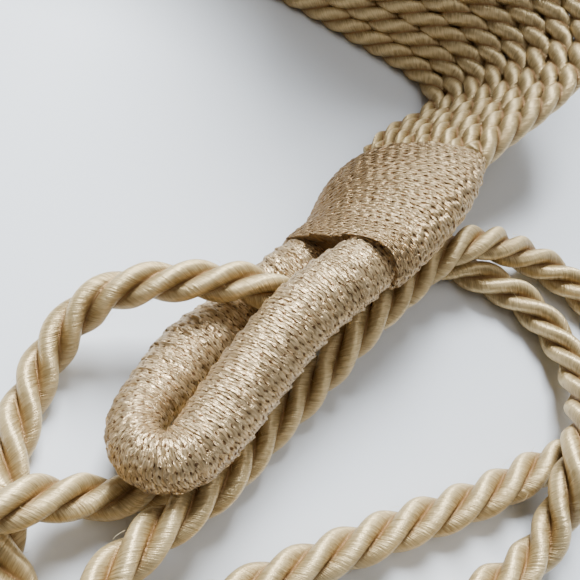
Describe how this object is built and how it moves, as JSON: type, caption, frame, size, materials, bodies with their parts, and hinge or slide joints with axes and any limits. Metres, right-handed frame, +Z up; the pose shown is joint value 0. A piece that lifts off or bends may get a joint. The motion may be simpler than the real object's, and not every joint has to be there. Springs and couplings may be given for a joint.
{
  "type": "rope belt",
  "caption": "Satin belt of twisted ropes stitched side by side, with wound eyes at its ends and a thin tie cord threaded through one eye, lying curled on a table",
  "frame": {"origin": "middle of the belt's footprint on the table, the tie cord and its knot left out", "axes": "+Z up off the table; +X is the belt's long way across its curl, towards the side where the two eyes lie; +Y points away from the second, plain eye"},
  "size_m": [0.2649, 0.2228, 0.0357],
  "materials": {
    "satin_rope": "satin",
    "ribbon_wrap": "satin"
  },
  "bodies": {
    "root": {"woven_band": "satin_rope", "neck_wrap": "ribbon_wrap", "eye_loop": "ribbon_wrap", "second_neck_wrap": "ribbon_wrap", "second_eye_loop": "ribbon_wrap", "tie_cord": "satin_rope", "cord_knot": "satin_rope"}
  },
  "joints": []
}
